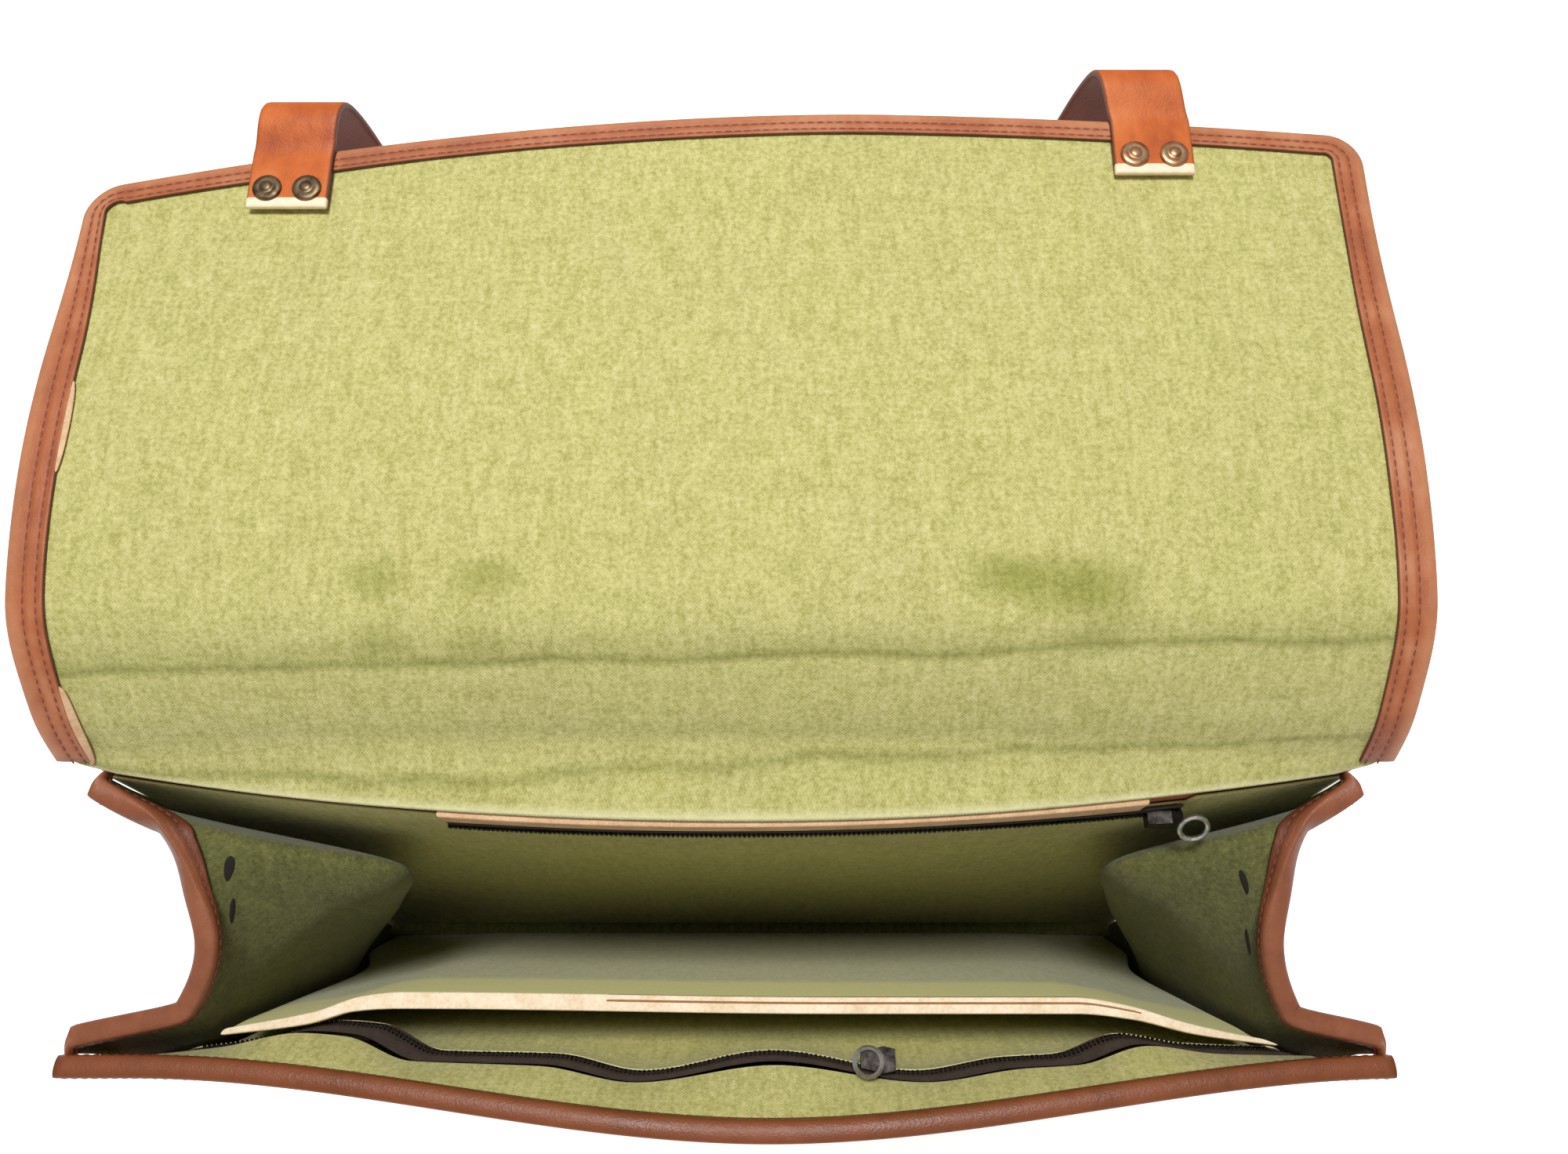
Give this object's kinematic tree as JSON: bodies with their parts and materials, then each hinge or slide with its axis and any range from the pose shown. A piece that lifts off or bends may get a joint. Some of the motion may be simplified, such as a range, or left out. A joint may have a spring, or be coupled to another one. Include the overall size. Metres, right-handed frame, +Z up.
{
  "type": "laptop messenger bag",
  "caption": "Open leather messenger bag with a canvas lining, a leaning padded divider, zip pockets and a flap laid back behind it.",
  "frame": {"origin": "centre of the underside of the base", "axes": "+Z up, +X along the bag's width, +Y towards its back, where the flap is laid"},
  "size_m": [0.4122, 0.3229, 0.3689],
  "materials": {
    "shell_leather": "oiled full-grain leather, lightly worn",
    "binding_leather": "thin folded leather with two rows of stitching",
    "raw_leather": "raw cut leather edge",
    "lining_canvas": "heathered yellow-green cotton canvas",
    "cream_edge": "raw cream padding edge",
    "zip_tape": "dark woven zip tape",
    "dark_metal": "blackened zip slider",
    "silver_metal": "plated steel ring",
    "rivet_metal": "antiqued brass"
  },
  "bodies": {
    "root": {"base_panel": "shell_leather", "back_panel": "shell_leather", "front_panel": "shell_leather", "gusset_left": "shell_leather", "gusset_right": "shell_leather", "flap": "shell_leather", "floor_lining": "lining_canvas", "back_lining": "lining_canvas", "front_lining": "lining_canvas", "gusset_lining_left": "lining_canvas", "gusset_lining_right": "lining_canvas", "flap_lining": "lining_canvas", "front_pocket": "lining_canvas", "divider": "lining_canvas", "divider_edge": "cream_edge", "flap_binding": "binding_leather", "front_binding": "binding_leather", "gusset_binding_left": "binding_leather", "gusset_binding_right": "binding_leather", "back_pocket_lip": "raw_leather", "front_zip_tape": "zip_tape", "back_zip_tape": "zip_tape", "front_zip_slider": "dark_metal", "back_zip_slider": "dark_metal", "front_zip_ring": "silver_metal", "back_zip_ring": "silver_metal", "closure_strap_left": "shell_leather", "closure_strap_right": "shell_leather", "strap_rivet_left_outer": "rivet_metal", "strap_rivet_left_inner": "rivet_metal", "strap_rivet_right_outer": "rivet_metal", "strap_rivet_right_inner": "rivet_metal", "side_tab_left": "shell_leather", "side_tab_right": "shell_leather", "side_ring_left": "silver_metal", "side_ring_right": "silver_metal", "buckle_left": "rivet_metal", "buckle_right": "rivet_metal"}
  },
  "joints": []
}
